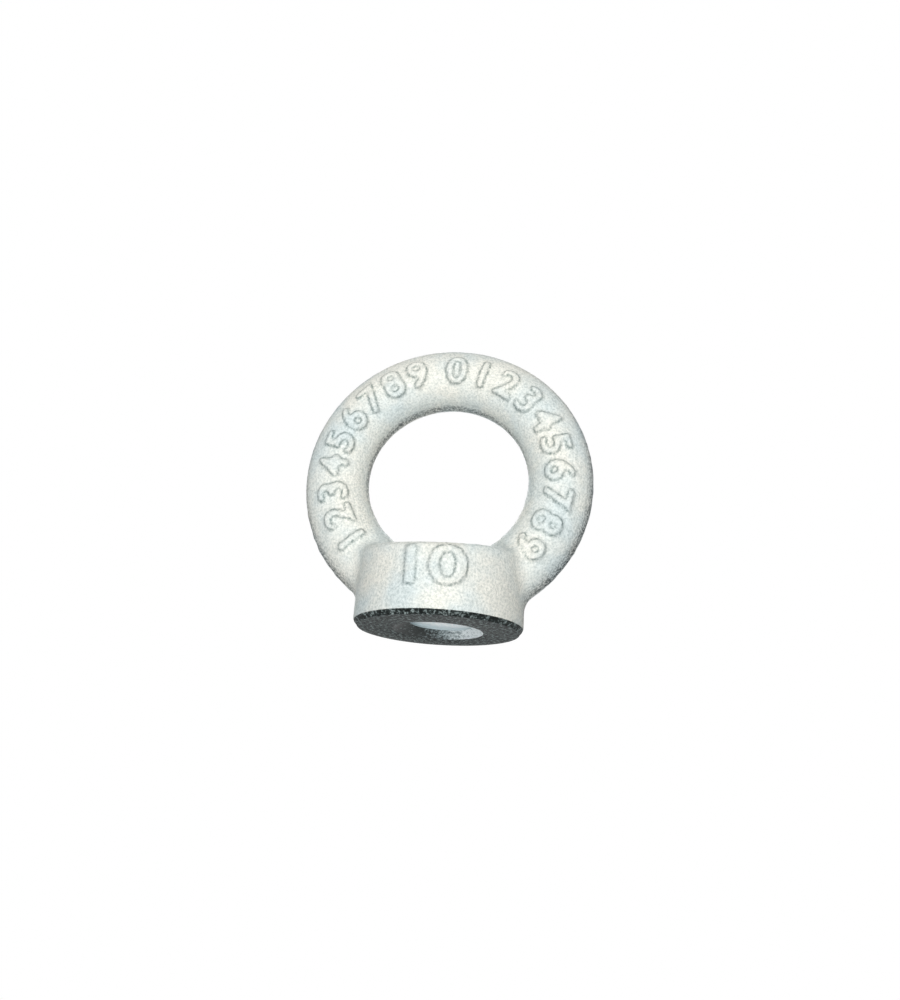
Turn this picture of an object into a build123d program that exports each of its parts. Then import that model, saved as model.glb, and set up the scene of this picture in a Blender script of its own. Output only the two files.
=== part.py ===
"""Lifting eye nut, M10: one drop forging, drilled, countersunk and tapped.

Millimetres. +Z is up and the machined base face lies on Z = 0. The ring stands in the XZ plane, so its
axis runs along Y, and the threaded bore runs up the Z axis from the base into the eye.
"""

from build123d import *
import math
import os

# Ring: its section is an ellipse, a little flatter along the ring's axis than across it
eye_diameter = 25.2
ring_width = 9.9
ring_thickness = 9.0

# Collar: a short cylinder under the ring, whose top is crowned so that it leaves the dies. Its height is
# measured at the front and back of the rim, and the crown is what the middle stands above that.
collar_diameter = 25.0
collar_height = 10.0
collar_crown = 1.3
collar_rim_radius = 1.0

# Base: the forging is this much too deep, and is faced off flat and chamfered in one turning
base_allowance = 3.0
base_chamfer = 0.7

# Height of the eye's lowest point above the collar's rim, which lets the collar cut a flat floor in the eye
eye_rise = 0.9

# Rolled blend where the ring's legs run into the collar
leg_blend_radius = 3.0

# Bore: its wall lies at the crests of the M10 thread, with a lead-in at the base and a chamfer at the eye
thread_crest_diameter = 8.5
lead_in_diameter = 13.3
lead_in_angle = 120.0
exit_chamfer = 0.5

# Places that follow from the sizes
collar_radius = collar_diameter / 2
crown_radius = (collar_radius**2 + collar_crown**2) / (2 * collar_crown)
eye_floor = collar_height + collar_crown
eye_radius = eye_diameter / 2
ring_centre = collar_height + eye_rise + eye_radius
ring_middle_radius = eye_radius + ring_width / 2
overall_height = ring_centre + eye_radius + ring_width
crest_radius = thread_crest_diameter / 2
lead_in_radius = lead_in_diameter / 2
lead_in_depth = (lead_in_radius - crest_radius) / math.tan(math.radians(lead_in_angle / 2))

with BuildPart() as eye_nut:
    # Collar, cut off at the top by a wide cylinder that lies along X and makes the crown
    with BuildSketch(Plane.XY.offset(-base_allowance)):
        Circle(collar_radius)
    extrude(amount=base_allowance + eye_floor)
    with BuildSketch(Plane.YZ):
        with Locations((0, eye_floor - crown_radius)):
            Circle(crown_radius)
    extrude(amount=collar_diameter, both=True, mode=Mode.INTERSECT)
    fillet(eye_nut.faces().sort_by(Axis.Z).last.edges(), collar_rim_radius)

    # Ring, standing in the collar, with its legs blended in
    with BuildSketch(Plane.YZ):
        with Locations((0, ring_centre + ring_middle_radius)):
            Ellipse(ring_thickness / 2, ring_width / 2)
    revolve(axis=Axis((0, 0, ring_centre), (0, 1, 0)))
    fillet(eye_nut.edges(Select.NEW), leg_blend_radius)

    # Base, faced off flat and chamfered by a cone that opens upward at 45 degrees
    with BuildSketch(Plane.XY):
        Circle(collar_radius - base_chamfer)
    extrude(amount=overall_height, taper=-45, mode=Mode.INTERSECT)

    # Bore, with its lead-in at the base and its chamfer at the floor of the eye
    with BuildSketch(Plane.XZ):
        with BuildLine():
            Polyline(
                (0, 0),
                (lead_in_radius, 0),
                (crest_radius, lead_in_depth),
                (crest_radius, eye_floor - exit_chamfer),
                (crest_radius + 2 * exit_chamfer, eye_floor + exit_chamfer),
                (0, eye_floor + exit_chamfer),
                close=True,
            )
        make_face()
    revolve(axis=Axis.Z, mode=Mode.SUBTRACT)

eye_nut.part.label = "eye_nut"
os.makedirs("parts", exist_ok=True)
export_step(eye_nut.part, "parts/eye_nut.step")
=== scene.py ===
import math

import bpy
from mathutils import Matrix, Vector
from mathutils.bvhtree import BVHTree


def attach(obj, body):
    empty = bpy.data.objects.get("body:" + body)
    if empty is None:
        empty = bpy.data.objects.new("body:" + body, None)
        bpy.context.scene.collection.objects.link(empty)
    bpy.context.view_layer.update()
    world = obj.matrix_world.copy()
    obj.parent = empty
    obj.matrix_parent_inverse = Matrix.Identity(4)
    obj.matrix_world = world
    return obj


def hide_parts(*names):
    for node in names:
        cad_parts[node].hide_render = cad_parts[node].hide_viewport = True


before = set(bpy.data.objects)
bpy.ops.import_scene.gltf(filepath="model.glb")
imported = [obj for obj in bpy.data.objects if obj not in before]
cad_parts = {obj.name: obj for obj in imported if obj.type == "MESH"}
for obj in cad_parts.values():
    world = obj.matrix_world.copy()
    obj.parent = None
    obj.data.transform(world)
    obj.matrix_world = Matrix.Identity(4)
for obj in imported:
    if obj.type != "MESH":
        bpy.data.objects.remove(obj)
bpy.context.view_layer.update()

MM = 0.001

# Sizes of the forging, in millimetres, as its source has them
RING_CENTRE = 23.5
RING_MIDDLE = 17.55
RING_HALF_WIDTH = 4.95
RING_HALF_THICKNESS = 4.5
COLLAR_RADIUS = 12.5
COLLAR_HEIGHT = 10.0
COLLAR_RIM_RADIUS = 1.0
BASE_CHAMFER = 0.7
EYE_FLOOR = 11.3

# Thread M10, coarse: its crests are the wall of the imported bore
THREAD_PITCH = 1.5
THREAD_CREST_RADIUS = 4.25
THREAD_ROOT_RADIUS = 5.0
LEAD_IN_RADIUS = 6.65
EXIT_CHAMFER = 0.5

# Raised figures. Those on the ring stand at an angle from its top, those on the collar at a place
# along X. Each is cut from a block that runs along Y, from front to back, through the surface.
FIGURE_SHARE_OF_FONT = 0.73
STROKE_SWELL = 0.1
RING_FIGURE_HEIGHT = 4.7
RING_FIGURE_WIDENING = 1.06
RING_FIGURE_FRONT, RING_FIGURE_BACK = -8, -1
RING_RELIEF = 0.45
RING_FIGURES = (
    [("123456789"[i], -130 + i * 14) for i in range(9)]
    + [("0123456789"[i], 3 + i * 14.2) for i in range(10)]
)
COLLAR_FIGURE_HEIGHT = 5.6
COLLAR_FIGURE_WIDENING = 1.45
COLLAR_FIGURE_FRONT, COLLAR_FIGURE_BACK = -15, -9
COLLAR_FIGURE_MIDDLE = 7.0
COLLAR_RELIEF = 0.4
COLLAR_FIGURES = [("1", -2.9), ("0", 2.4)]

# How far the stock under the base runs on, where the tap starts and ends, and how far the lead-in's
# cutter reaches below the base
STOCK_DEPTH = 0.9
TAP_BOTTOM = -1.23
TAP_TOP = EYE_FLOOR + 1.37
LEAD_IN_OVERRUN = 0.6

# Places of the finishes among the nut's materials
FORGED, FACED, THREADED, COUNTERSUNK = range(4)

# The skin is rebuilt in cells of this size, which also rounds the smallest marks as forging does
SKIN_CELL = 0.29


# ---------- hand work ----------
# The nut is made with one unit to the millimetre, and brought to its size in metres at the end.

def pick(*pieces):
    """Selects these pieces and nothing else; the first is the one worked on."""
    bpy.ops.object.select_all(action="DESELECT")
    for piece in pieces:
        piece.select_set(True)
    bpy.context.view_layer.objects.active = pieces[0]


def edit(piece):
    """Opens the piece in edit mode with all of it selected."""
    pick(piece)
    bpy.ops.object.mode_set(mode="EDIT")
    bpy.ops.mesh.select_all(action="SELECT")


def leave_edit():
    bpy.ops.object.mode_set(mode="OBJECT")


def apply_place(piece):
    """Moves the piece's place, turn and scale into its mesh."""
    pick(piece)
    bpy.ops.object.transform_apply(location=True, rotation=True, scale=True)


def join(first, *others):
    pick(first, *others)
    bpy.ops.object.join()
    return first


def merge(piece, distance=0.001):
    edit(piece)
    bpy.ops.mesh.remove_doubles(threshold=distance)
    bpy.ops.mesh.normals_make_consistent(inside=False)
    leave_edit()


def modify(piece, kind, **settings):
    """Adds one modifier and applies it at once."""
    pick(piece)
    bpy.ops.object.modifier_add(type=kind)
    modifier = piece.modifiers[-1]
    for name, value in settings.items():
        setattr(modifier, name, value)
    bpy.ops.object.modifier_apply(modifier=modifier.name)


def cut(piece, tool, operation, crossed=False):
    """Cuts or joins the piece with a tool, which is used up.

    A crossed piece is one that runs through itself.
    """
    modify(piece, "BOOLEAN", operation=operation, solver="EXACT", use_self=crossed, object=tool)
    bpy.data.objects.remove(tool)


def cylinder(radius, bottom, top, sides=96):
    bpy.ops.mesh.primitive_cylinder_add(
        vertices=sides,
        radius=radius,
        depth=top - bottom,
        location=(0, 0, (top + bottom) / 2),
    )
    made = bpy.context.object
    apply_place(made)
    return made


def cone(bottom_radius, top_radius, bottom, top, sides=96):
    bpy.ops.mesh.primitive_cone_add(
        vertices=sides,
        radius1=bottom_radius,
        radius2=top_radius,
        depth=top - bottom,
        location=(0, 0, (top + bottom) / 2),
    )
    made = bpy.context.object
    apply_place(made)
    return made


def ring_round_eye(middle_radius, half_width, half_thickness, turns=192, sides=48):
    """A ring round the eye's axis, with an elliptic section."""
    bpy.ops.mesh.primitive_torus_add(
        major_radius=middle_radius,
        minor_radius=half_width,
        major_segments=turns,
        minor_segments=sides,
    )
    made = bpy.context.object
    made.scale.z = half_thickness / half_width
    apply_place(made)
    made.rotation_euler.x = math.radians(90)
    made.location.z = RING_CENTRE
    apply_place(made)
    return made


# ---------- raised marks ----------

def digit(figure, height, widening, front, back):
    """One figure as a block, facing -Y, with its middle on the Y axis."""
    bpy.ops.object.text_add()
    made = bpy.context.object
    made.data.body = figure
    made.data.align_x = "CENTER"
    made.data.size = height / FIGURE_SHARE_OF_FONT
    made.data.offset = STROKE_SWELL
    made.data.extrude = (back - front) / 2
    made.data.resolution_u = 6
    bpy.ops.object.convert(target="MESH")
    made = bpy.context.object
    made.location = (0, 0, 0)
    made.rotation_euler = (math.radians(90), 0, 0)
    apply_place(made)
    made.location = (0, (back + front) / 2, -height / 2)
    made.scale.x = widening
    apply_place(made)
    merge(made, 0.002)
    return made


def ring_digits():
    """Plain figures round the ring's front: straight walls, and tops that follow the ring."""
    blocks = []
    for figure, turn in RING_FIGURES:
        block = digit(
            figure, RING_FIGURE_HEIGHT, RING_FIGURE_WIDENING, RING_FIGURE_FRONT, RING_FIGURE_BACK
        )
        block.location.z = RING_MIDDLE
        apply_place(block)
        block.rotation_euler.y = math.radians(turn)
        block.location.z = RING_CENTRE
        apply_place(block)
        blocks.append(block)
    digits = join(*blocks)
    swollen = ring_round_eye(
        RING_MIDDLE, RING_HALF_WIDTH + RING_RELIEF, RING_HALF_THICKNESS + RING_RELIEF
    )
    cut(digits, swollen, "INTERSECT", crossed=True)
    return digits


def collar_digits():
    """The plain size figure on the front of the collar."""
    blocks = []
    for figure, place in COLLAR_FIGURES:
        block = digit(
            figure,
            COLLAR_FIGURE_HEIGHT,
            COLLAR_FIGURE_WIDENING,
            COLLAR_FIGURE_FRONT,
            COLLAR_FIGURE_BACK,
        )
        block.location = (place, 0, COLLAR_FIGURE_MIDDLE)
        apply_place(block)
        blocks.append(block)
    digits = join(*blocks)
    swollen = cylinder(COLLAR_RADIUS + COLLAR_RELIEF, -1, COLLAR_HEIGHT + COLLAR_RELIEF, 128)
    edit(swollen)
    bpy.ops.mesh.select_all(action="DESELECT")
    leave_edit()
    for edge in swollen.data.edges:
        ends = [swollen.data.vertices[i].co.z for i in edge.vertices]
        edge.select = min(ends) > COLLAR_HEIGHT
    bpy.ops.object.mode_set(mode="EDIT")
    bpy.ops.mesh.select_mode(type="EDGE")
    bpy.ops.mesh.bevel(offset=COLLAR_RIM_RADIUS + COLLAR_RELIEF, segments=6, affect="EDGES")
    leave_edit()
    cut(digits, swollen, "INTERSECT", crossed=True)
    return digits


# ---------- the forging ----------

def flash_line():
    """What trimming leaves of the flash: a low ragged ridge where the two dies met."""
    outer = ring_round_eye(RING_MIDDLE + RING_HALF_WIDTH - 0.28, 0.34, 0.5, 720, 12)
    inner = ring_round_eye(RING_MIDDLE - RING_HALF_WIDTH + 0.26, 0.26, 0.4, 480, 12)
    line = join(outer, inner)
    ragged_noise = bpy.data.textures.new("torn_flash", "CLOUDS")
    ragged_noise.noise_scale = 1.1
    ragged_noise.noise_depth = 2
    modify(line, "DISPLACE", texture=ragged_noise, texture_coords="LOCAL", strength=0.45, mid_level=0.5)
    return line


def forged_blank():
    """The nut's skin with the bore still solid and the base a little too deep."""
    blank = bpy.data.objects.new("eye_nut_forging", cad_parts["eye_nut"].data.copy())
    bpy.context.collection.objects.link(blank)
    blank.data.materials.clear()
    blank.scale = (1 / MM, 1 / MM, 1 / MM)
    apply_place(blank)
    merge(blank)
    filling = cylinder(LEAD_IN_RADIUS + 0.2, -STOCK_DEPTH, EYE_FLOOR - 0.7)
    base_stock = cylinder(COLLAR_RADIUS - BASE_CHAMFER, -STOCK_DEPTH, 1.5, 160)
    join(blank, filling, base_stock, ring_digits(), collar_digits(), flash_line())
    modify(blank, "REMESH", mode="VOXEL", voxel_size=SKIN_CELL)
    modify(blank, "SMOOTH", factor=0.5, iterations=2)
    scale = bpy.data.textures.new("forging_scale", "CLOUDS")
    scale.noise_scale = 1.3
    scale.noise_depth = 3
    modify(blank, "DISPLACE", texture=scale, texture_coords="LOCAL", strength=0.07, mid_level=0.5)
    return blank


def thread_tap():
    """The tap and both countersinks as one solid tool."""
    start = -2 * THREAD_PITCH
    flank_start = start + THREAD_PITCH / 4
    root_start = start + THREAD_PITCH * 0.56
    root_end = root_start + THREAD_PITCH / 8
    bpy.ops.mesh.primitive_plane_add(size=1)
    tap = bpy.context.object
    edit(tap)
    bpy.ops.mesh.delete(type="VERT")
    leave_edit()
    corners = [
        (THREAD_CREST_RADIUS, start),
        (THREAD_CREST_RADIUS, flank_start),
        (THREAD_ROOT_RADIUS, root_start),
        (THREAD_ROOT_RADIUS, root_end),
        (THREAD_CREST_RADIUS, start + THREAD_PITCH),
    ]
    tap.data.from_pydata(
        [(r, 0, z) for r, z in corners],
        [(i, i + 1) for i in range(len(corners) - 1)],
        [],
    )
    modify(
        tap,
        "SCREW",
        angle=math.radians(360),
        screw_offset=THREAD_PITCH,
        iterations=12,
        steps=64,
        render_steps=64,
        use_merge_vertices=True,
        merge_threshold=0.002,
    )
    merge(tap, 0.002)
    for height, keep_above in ((TAP_BOTTOM, True), (TAP_TOP, False)):
        edit(tap)
        bpy.ops.mesh.bisect(
            plane_co=(0, 0, height),
            plane_no=(0, 0, 1),
            use_fill=True,
            clear_inner=keep_above,
            clear_outer=not keep_above,
        )
        leave_edit()
    merge(tap, 0.001)
    slope = math.tan(math.radians(60))
    depth = (LEAD_IN_RADIUS + LEAD_IN_OVERRUN * slope) / slope
    lead_in = cone(depth * slope, 0.01, -LEAD_IN_OVERRUN, depth - LEAD_IN_OVERRUN, 64)
    exit_start = EYE_FLOOR - EXIT_CHAMFER
    below, above = 0.3, 3
    exit_cone = cone(
        THREAD_CREST_RADIUS - below,
        THREAD_CREST_RADIUS + above,
        exit_start - below,
        exit_start + above,
        64,
    )
    cut(tap, lead_in, "UNION")
    cut(tap, exit_cone, "UNION")
    return tap


def face_base(piece):
    """Cuts the base flat, and scribes a line at the top of its chamfer, where the finish changes."""
    edit(piece)
    bpy.ops.mesh.bisect(plane_co=(0, 0, BASE_CHAMFER), plane_no=(0, 0, 1))
    bpy.ops.mesh.select_all(action="SELECT")
    bpy.ops.mesh.bisect(plane_co=(0, 0, 0), plane_no=(0, 0, 1), use_fill=True, clear_inner=True)
    leave_edit()


# ---------- finishes ----------

def colour(hex_code):
    """An sRGB hex colour as the linear colour that Blender mixes."""
    made = []
    for i in (0, 2, 4):
        c = int(hex_code[i:i + 2], 16) / 255
        made.append(c / 12.92 if c <= 0.04045 else ((c + 0.055) / 1.055) ** 2.4)
    return (*made, 1)


def node(tree, kind, inputs=None, **settings):
    """Adds one node, with its settings, and sets or links its inputs."""
    made = tree.nodes.new(kind)
    for name, value in settings.items():
        setattr(made, name, value)
    for socket, value in (inputs or {}).items():
        if isinstance(value, bpy.types.NodeSocket):
            tree.links.new(value, made.inputs[socket])
        else:
            made.inputs[socket].default_value = value
    return made


def new_material(name):
    made = bpy.data.materials.new(name)
    made.use_nodes = True
    made.node_tree.nodes.clear()
    return made, made.node_tree


def ramp(tree, factor, stops):
    made = node(tree, "ShaderNodeValToRGB", {"Fac": factor})
    band = made.color_ramp
    while len(band.elements) < len(stops):
        band.elements.new(0.5)
    for element, (place, shade) in zip(band.elements, stops):
        element.position = place
        element.color = shade
    return made.outputs["Color"]


def noise(tree, place, cell, detail, roughness):
    """Noise in cells of a size in millimetres."""
    settings = {"Vector": place, "Scale": 1 / (cell * MM), "Detail": detail, "Roughness": roughness}
    return node(tree, "ShaderNodeTexNoise", settings).outputs["Fac"]


def maths(tree, operation, first, second=0.0):
    return node(tree, "ShaderNodeMath", {0: first, 1: second}, operation=operation).outputs[0]


def spread(tree, value, low, high, to_low=0.0, to_high=1.0, **settings):
    """Brings a value that runs from low to high to run from to_low to to_high, and no further."""
    ends = {"From Min": low, "From Max": high, "To Min": to_low, "To Max": to_high}
    return node(tree, "ShaderNodeMapRange", {"Value": value, **ends}, **settings).outputs[0]


def blend(tree, factor, first, second, blend_type="MIX"):
    """Mixes two colours."""
    sockets = {"Factor": factor, "A": first, "B": second}
    return node(
        tree, "ShaderNodeMix", sockets, data_type="RGBA", blend_type=blend_type
    ).outputs[2]


def surface(tree, **values):
    """The shader at the end of a finish; an underscore in a name stands for a space."""
    sockets = {name.replace("_", " "): value for name, value in values.items()}
    shader = node(tree, "ShaderNodeBsdfPrincipled", sockets)
    node(tree, "ShaderNodeOutputMaterial", {"Surface": shader.outputs["BSDF"]})


def rough(tree, height, strength, distance):
    """A fine roughness that only the light sees; its distance is in millimetres."""
    sockets = {"Height": height, "Strength": strength, "Distance": distance * MM}
    return node(tree, "ShaderNodeBump", sockets).outputs["Normal"]


def galvanised_forging():
    """Zinc over a shot-blasted drop forging: pale, nearly matte and finely grained."""
    made, tree = new_material("galvanised_zinc_on_forging")
    place = node(tree, "ShaderNodeTexCoord").outputs["Object"]
    clouds = noise(tree, place, 7, 3.0, 0.5)
    grain = noise(tree, place, 0.34, 3.0, 0.7)
    tone = ramp(tree, clouds, [(0.36, colour("E3EBEA")), (0.62, colour("F7F5EC"))])
    speck = ramp(tree, grain, [(0.36, colour("AEB8B9")), (0.6, colour("FFFFFF"))])
    zinc = blend(tree, 0.52, tone, speck, "MULTIPLY")

    # Painted shade: the walls of the raised figures are painted grey, so they outline the figures as
    # their shaded walls would
    lean = node(tree, "ShaderNodeAttribute", attribute_name="lean").outputs["Fac"]
    uneven = spread(tree, grain, 0.65, 0.35, 0.6, 1.25)
    lean = maths(tree, "MULTIPLY", lean, uneven)
    wall = ramp(tree, lean, [(0.03, colour("FFFFFF")), (0.24, colour("ADB6B6"))])
    zinc = blend(tree, 1.0, zinc, wall, "MULTIPLY")

    # Painted shade: a ragged dark band along the parting line, outside and inside the ring, where its
    # rims turn away from the light
    parts = node(tree, "ShaderNodeSeparateXYZ", {0: place})
    up = maths(tree, "SUBTRACT", parts.outputs["Z"], RING_CENTRE * MM)
    flat = node(tree, "ShaderNodeCombineXYZ", {"X": parts.outputs["X"], "Z": up}).outputs[0]
    radius = node(tree, "ShaderNodeVectorMath", {0: flat}, operation="LENGTH").outputs["Value"]
    from_middle = maths(tree, "SUBTRACT", radius, RING_MIDDLE * MM)
    from_parting = maths(tree, "ABSOLUTE", parts.outputs["Y"])
    outside = spread(tree, from_middle, 3.5 * MM, 4.8 * MM)
    inside = spread(tree, from_middle, -4.75 * MM, -4.97 * MM, to_high=0.8)
    edge = maths(tree, "MAXIMUM", outside, inside)
    over_collar = spread(tree, parts.outputs["Z"], 3.0 * MM, 8.0 * MM, to_low=0.25)
    edge = maths(tree, "MULTIPLY", edge, over_collar)
    near = spread(tree, from_parting, 3.4 * MM, 0.9 * MM)
    band = maths(tree, "MULTIPLY", edge, near)
    # The grain breaks the painted shade into dark specks
    ragged_noise = spread(tree, grain, 0.57, 0.45, to_low=0.1)
    band = maths(tree, "MULTIPLY", band, ragged_noise)
    zinc = blend(tree, band, zinc, colour("343D40"))

    # Painted highlight: the ridge in the middle of that band is painted light along its crest, broken
    # up in places by the clouds
    ridge_highlight = spread(tree, from_parting, 0.32 * MM, 0.2 * MM, to_high=0.8)
    ridge_highlight = maths(tree, "MULTIPLY", ridge_highlight, outside)
    broken_up = spread(tree, clouds, 0.4, 0.56, to_low=0.25)
    ridge_highlight = maths(tree, "MULTIPLY", ridge_highlight, broken_up)
    zinc = blend(tree, ridge_highlight, zinc, colour("E9EEEC"))

    surface(
        tree,
        Base_Color=zinc,
        Metallic=0.12,
        Roughness=0.6,
        Specular_IOR_Level=0.1,
        Normal=rough(tree, grain, 1.0, 0.16),
    )
    return made


def faced_base_and_painted_shade():
    """Faced steel with only a thin zinc flash: dark grey with brighter grains, and darker still with
    painted shade, as the base faces down away from the light.
    """
    made, tree = new_material("faced_steel_and_painted_shade")
    place = node(tree, "ShaderNodeTexCoord").outputs["Object"]
    grain = noise(tree, place, 0.55, 4.0, 0.75)
    # Part of this darkness is painted shade for the underside
    stops = [(0.42, colour("111514")), (0.52, colour("2E3534")), (0.62, colour("98A4A3"))]
    surface(
        tree,
        Base_Color=ramp(tree, grain, stops),
        Metallic=0.12,
        Roughness=0.6,
        Specular_IOR_Level=0.1,
        Normal=rough(tree, grain, 0.6, 0.1),
    )
    return made


def cut_thread():
    """Zinc on freshly cut steel: bluish white and brighter than the forging, with painted shade
    darkening the roots.
    """
    made, tree = new_material("zinc_on_cut_thread")
    place = node(tree, "ShaderNodeTexCoord").outputs["Object"]
    grain = noise(tree, place, 0.5, 3.0, 0.7)
    tone = ramp(tree, grain, [(0.35, colour("E6F0F2")), (0.6, colour("FFFFFF"))])
    flat = node(
        tree, "ShaderNodeVectorMath", {0: place, 1: (1, 1, 0)}, operation="MULTIPLY"
    ).outputs[0]
    radius = node(tree, "ShaderNodeVectorMath", {0: flat}, operation="LENGTH").outputs["Value"]
    # Painted shade: the colour darkens from the thread's crests into its roots
    depth = spread(tree, radius, THREAD_CREST_RADIUS * MM, THREAD_ROOT_RADIUS * MM)
    tone = blend(tree, depth, tone, colour("D2DDE0"))
    surface(tree, Base_Color=tone, Metallic=0.2, Roughness=0.4)
    return made


def cut_countersink():
    """The countersink's cone: duller zinc with painted light and shade, dark and speckled on its left
    and light on its right.
    """
    made, tree = new_material("zinc_on_countersink")
    place = node(tree, "ShaderNodeTexCoord").outputs["Object"]
    grain = noise(tree, place, 0.45, 4.0, 0.75)
    parts = node(tree, "ShaderNodeSeparateXYZ", {0: place})
    # Painted light and shade: from dark on the cone's left to light on its right, with the grain
    # speckling it
    across = spread(tree, parts.outputs["X"], -3.5 * MM, 4.5 * MM, to_high=0.75)
    drift = spread(tree, grain, 0.35, 0.65, -0.3, 0.3)
    painted_light_and_shade = maths(tree, "ADD", across, drift)
    stops = [(0.12, colour("1E2423")), (0.42, colour("9AA8AA")), (0.75, colour("F4FBFC"))]
    surface(
        tree,
        Base_Color=ramp(tree, painted_light_and_shade, stops),
        Metallic=0.2,
        Roughness=0.5,
        Specular_IOR_Level=0.2,
    )
    return made


def paint(piece):
    """Zinc all over, then the faced base and the bore by their places."""
    for finish in (galvanised_forging(), faced_base_and_painted_shade(), cut_thread(), cut_countersink()):
        piece.data.materials.append(finish)
    mouth = LEAD_IN_RADIUS + 0.02
    root = THREAD_ROOT_RADIUS
    for face in piece.data.polygons:
        x, y, z = face.center
        radius = math.hypot(x, y)
        if z < 0.01 or (z < BASE_CHAMFER and radius > LEAD_IN_RADIUS + 0.5):
            face.material_index = FACED
        elif root + 0.05 < radius < mouth and z < BASE_CHAMFER + 1:
            face.material_index = COUNTERSUNK
        elif radius < mouth and z < COLLAR_HEIGHT:
            face.material_index = THREADED
        elif radius < root - 0.05 and z < EYE_FLOOR + 0.3:
            face.material_index = THREADED
        else:
            face.material_index = FORGED


def mark_walls(piece):
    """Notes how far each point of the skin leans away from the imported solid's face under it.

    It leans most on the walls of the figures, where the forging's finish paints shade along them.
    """
    plain = BVHTree.FromObject(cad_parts["eye_nut"], bpy.context.evaluated_depsgraph_get())
    leans = []
    for point, normal in zip(piece.data.vertices, piece.data.vertex_normals):
        under = plain.find_nearest(point.co)[1]
        leans.append(min(1.0, max(0.0, 1 - normal.vector.dot(under))))
    piece.data.attributes.new("lean", "FLOAT", "POINT").data.foreach_set("value", leans)


# ---------- the room ----------

def camera_from_photo():
    """The photograph's viewpoint: from below and a little to the right, slightly turned."""
    distance, azimuth, elevation, roll = 128.105, 7.496, -20.374, 3.755
    a, e, r = (math.radians(angle) for angle in (azimuth, elevation, roll))
    back = Vector((math.sin(a) * math.cos(e), -math.cos(a) * math.cos(e), math.sin(e)))
    level_right = (-back).cross(Vector((0, 0, 1))).normalized()
    level_up = level_right.cross(-back)
    right = level_right * math.cos(r) + level_up * math.sin(r)
    up = level_up * math.cos(r) - level_right * math.sin(r)
    turn = Matrix((right, up, back)).transposed().to_euler()
    target_height, focal_pixels, picture_pixels = 22.5, 820.0, 1000
    place = Vector((0, 0, target_height)) + back * distance
    bpy.ops.object.camera_add(location=place * MM, rotation=turn)
    camera = bpy.context.object
    camera.data.sensor_width = 36
    camera.data.lens = 36 * focal_pixels / picture_pixels
    camera.data.shift_x = 0.00267
    camera.data.shift_y = -0.01223
    camera.data.clip_start = 0.005
    camera.data.clip_end = 5
    bpy.context.scene.camera = camera


def pale_floor():
    """A pale floor that fades into the white; a camera below it looks through it."""
    bpy.ops.mesh.primitive_plane_add(size=3, location=(0, 0, -0.1 * MM))
    floor = bpy.context.object
    floor.name = "floor"
    made, tree = new_material("pale_floor")
    seen = node(tree, "ShaderNodeLightPath").outputs["Is Camera Ray"]
    under = node(tree, "ShaderNodeNewGeometry").outputs["Backfacing"]
    place = node(tree, "ShaderNodeTexCoord").outputs["Object"]
    reach = node(tree, "ShaderNodeVectorMath", {0: place}, operation="LENGTH").outputs["Value"]
    fade = spread(tree, reach, 45 * MM, 150 * MM, 1.0, 0.0, interpolation_type="SMOOTHSTEP")
    shown = maths(tree, "MULTIPLY", seen, maths(tree, "SUBTRACT", 1.0, under))
    shown = maths(tree, "MULTIPLY", shown, fade)
    clear = node(tree, "ShaderNodeBsdfTransparent")
    pale = node(tree, "ShaderNodeBsdfDiffuse", {"Color": colour("F4F4F2")})
    mix = node(tree, "ShaderNodeMixShader", {0: shown, 1: clear.outputs[0], 2: pale.outputs[0]})
    node(tree, "ShaderNodeOutputMaterial", {"Surface": mix.outputs[0]})
    floor.data.materials.append(made)
    apply_place(floor)


def soft_lamp(name, place, size, power, tint):
    """A square soft box that faces the nut."""
    spot = Vector(place) * MM
    aim = Vector((0, 0, 22 * MM)) - spot
    turn = aim.to_track_quat("-Z", "Y").to_euler()
    bpy.ops.object.light_add(type="AREA", location=spot, rotation=turn)
    lamp = bpy.context.object
    lamp.name = name
    lamp.data.shape = "SQUARE"
    lamp.data.size = size * MM
    lamp.data.energy = power
    lamp.data.color = colour(tint)[:3]


def white_surroundings():
    """White where the camera, a reflection or glass sees past the nut, and a soft light elsewhere."""
    world = bpy.data.worlds.new("white_surroundings")
    bpy.context.scene.world = world
    world.use_nodes = True
    tree = world.node_tree
    tree.nodes.clear()
    path = node(tree, "ShaderNodeLightPath")
    seen = maths(tree, "MAXIMUM", path.outputs["Is Camera Ray"], path.outputs["Is Glossy Ray"])
    seen = maths(tree, "MAXIMUM", seen, path.outputs["Is Transmission Ray"])
    room = node(tree, "ShaderNodeBackground", {"Color": colour("CFDDE4"), "Strength": 0.2})
    white = node(tree, "ShaderNodeBackground", {"Color": (1, 1, 1, 1), "Strength": 1.0})
    mix = node(tree, "ShaderNodeMixShader", {0: seen, 1: room.outputs[0], 2: white.outputs[0]})
    node(tree, "ShaderNodeOutputWorld", {"Surface": mix.outputs[0]})


bpy.context.scene.view_settings.view_transform = "Standard"

nut = forged_blank()
face_base(nut)
cut(nut, thread_tap(), "DIFFERENCE")
merge(nut, 0.01)
paint(nut)
nut.scale = (MM, MM, MM)
apply_place(nut)
mark_walls(nut)
pick(nut)
bpy.ops.object.shade_smooth_by_angle(angle=math.radians(40))
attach(nut, "root")
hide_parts("eye_nut")

camera_from_photo()
pale_floor()
white_surroundings()
soft_lamp("key_light", (80, -500, 170), 180, 1.62, "FFFEFC")
soft_lamp("front_light", (-20, -470, -230), 160, 1.45, "FFFFFF")
soft_lamp("back_light", (-80, 480, 250), 300, 2.5, "FFFFFF")
